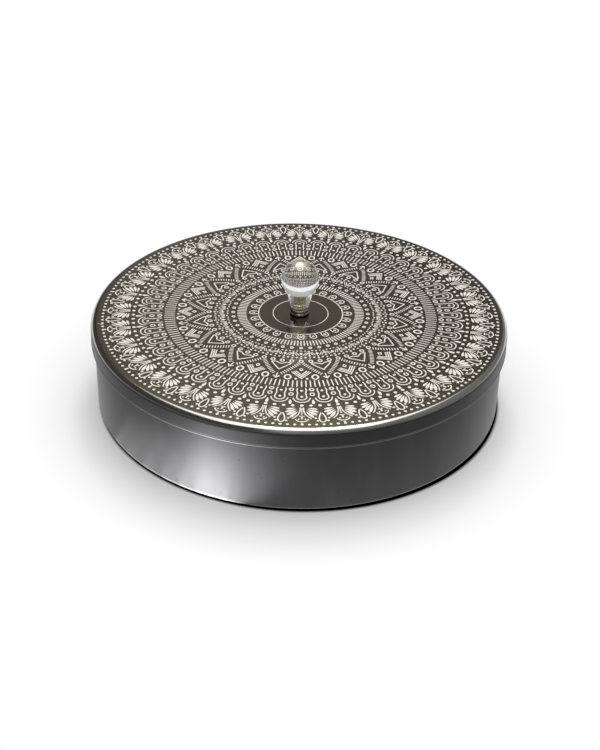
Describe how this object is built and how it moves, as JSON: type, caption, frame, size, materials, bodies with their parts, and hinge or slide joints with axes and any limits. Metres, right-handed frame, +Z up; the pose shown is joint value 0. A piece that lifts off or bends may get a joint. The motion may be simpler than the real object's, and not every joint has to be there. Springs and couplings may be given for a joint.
{
  "type": "spice box",
  "caption": "Round stainless steel spice box: a shallow pan of loose cups and a small spoon under a lift-off lid with a clear ball knob.",
  "frame": {"origin": "middle of the pan's underside, on the table", "axes": "+Z up through the knob; +X to the right of the picture's view; the spoon points along +X"},
  "size_m": [0.22, 0.22, 0.0789],
  "materials": {
    "pan_steel": "satin",
    "lid_steel": "gloss",
    "clear_knob": "gloss",
    "brass": "satin",
    "ferrule_metal": "gloss",
    "black_fibre": "matte",
    "screw_steel": "satin",
    "cup_steel": "gloss",
    "spoon_steel": "gloss"
  },
  "bodies": {
    "pan": {"pan": "pan_steel"},
    "lid": {"lid": "lid_steel", "knob": "clear_knob", "knob_insert": "brass", "knob_ferrule": "ferrule_metal", "knob_gasket": "black_fibre", "lid_screw": "screw_steel", "screw_washer": "screw_steel"},
    "cup_1": {"cup_1": "cup_steel"},
    "cup_2": {"cup_2": "cup_steel"},
    "cup_3": {"cup_3": "cup_steel"},
    "cup_4": {"cup_4": "cup_steel"},
    "cup_5": {"cup_5": "cup_steel"},
    "cup_6": {"cup_6": "cup_steel"},
    "cup_centre": {"cup_centre": "cup_steel"},
    "spoon": {"spoon": "spoon_steel"}
  },
  "joints": [
    {"name": "lid_lift", "type": "slide", "parent": "pan", "child": "lid", "axis": [0, 0, 1], "range_m": [0, 0.12]},
    {"name": "cup_centre_lift", "type": "slide", "parent": "pan", "child": "cup_centre", "axis": [0, 0, 1], "range_m": [0, 0.003]},
    {"name": "cup_1_lift", "type": "slide", "parent": "pan", "child": "cup_1", "axis": [0, 0, 1], "range_m": [0, 0.01]},
    {"name": "cup_2_lift", "type": "slide", "parent": "pan", "child": "cup_2", "axis": [0, 0, 1], "range_m": [0, 0.01]},
    {"name": "cup_3_lift", "type": "slide", "parent": "pan", "child": "cup_3", "axis": [0, 0, 1], "range_m": [0, 0.01]},
    {"name": "cup_4_lift", "type": "slide", "parent": "pan", "child": "cup_4", "axis": [0, 0, 1], "range_m": [0, 0.01]},
    {"name": "cup_5_lift", "type": "slide", "parent": "pan", "child": "cup_5", "axis": [0, 0, 1], "range_m": [0, 0.01]},
    {"name": "cup_6_lift", "type": "slide", "parent": "pan", "child": "cup_6", "axis": [0, 0, 1], "range_m": [0, 0.01]},
    {"name": "spoon_lift", "type": "slide", "parent": "cup_centre", "child": "spoon", "axis": [0, 0, 1], "range_m": [0, 0.003]}
  ]
}
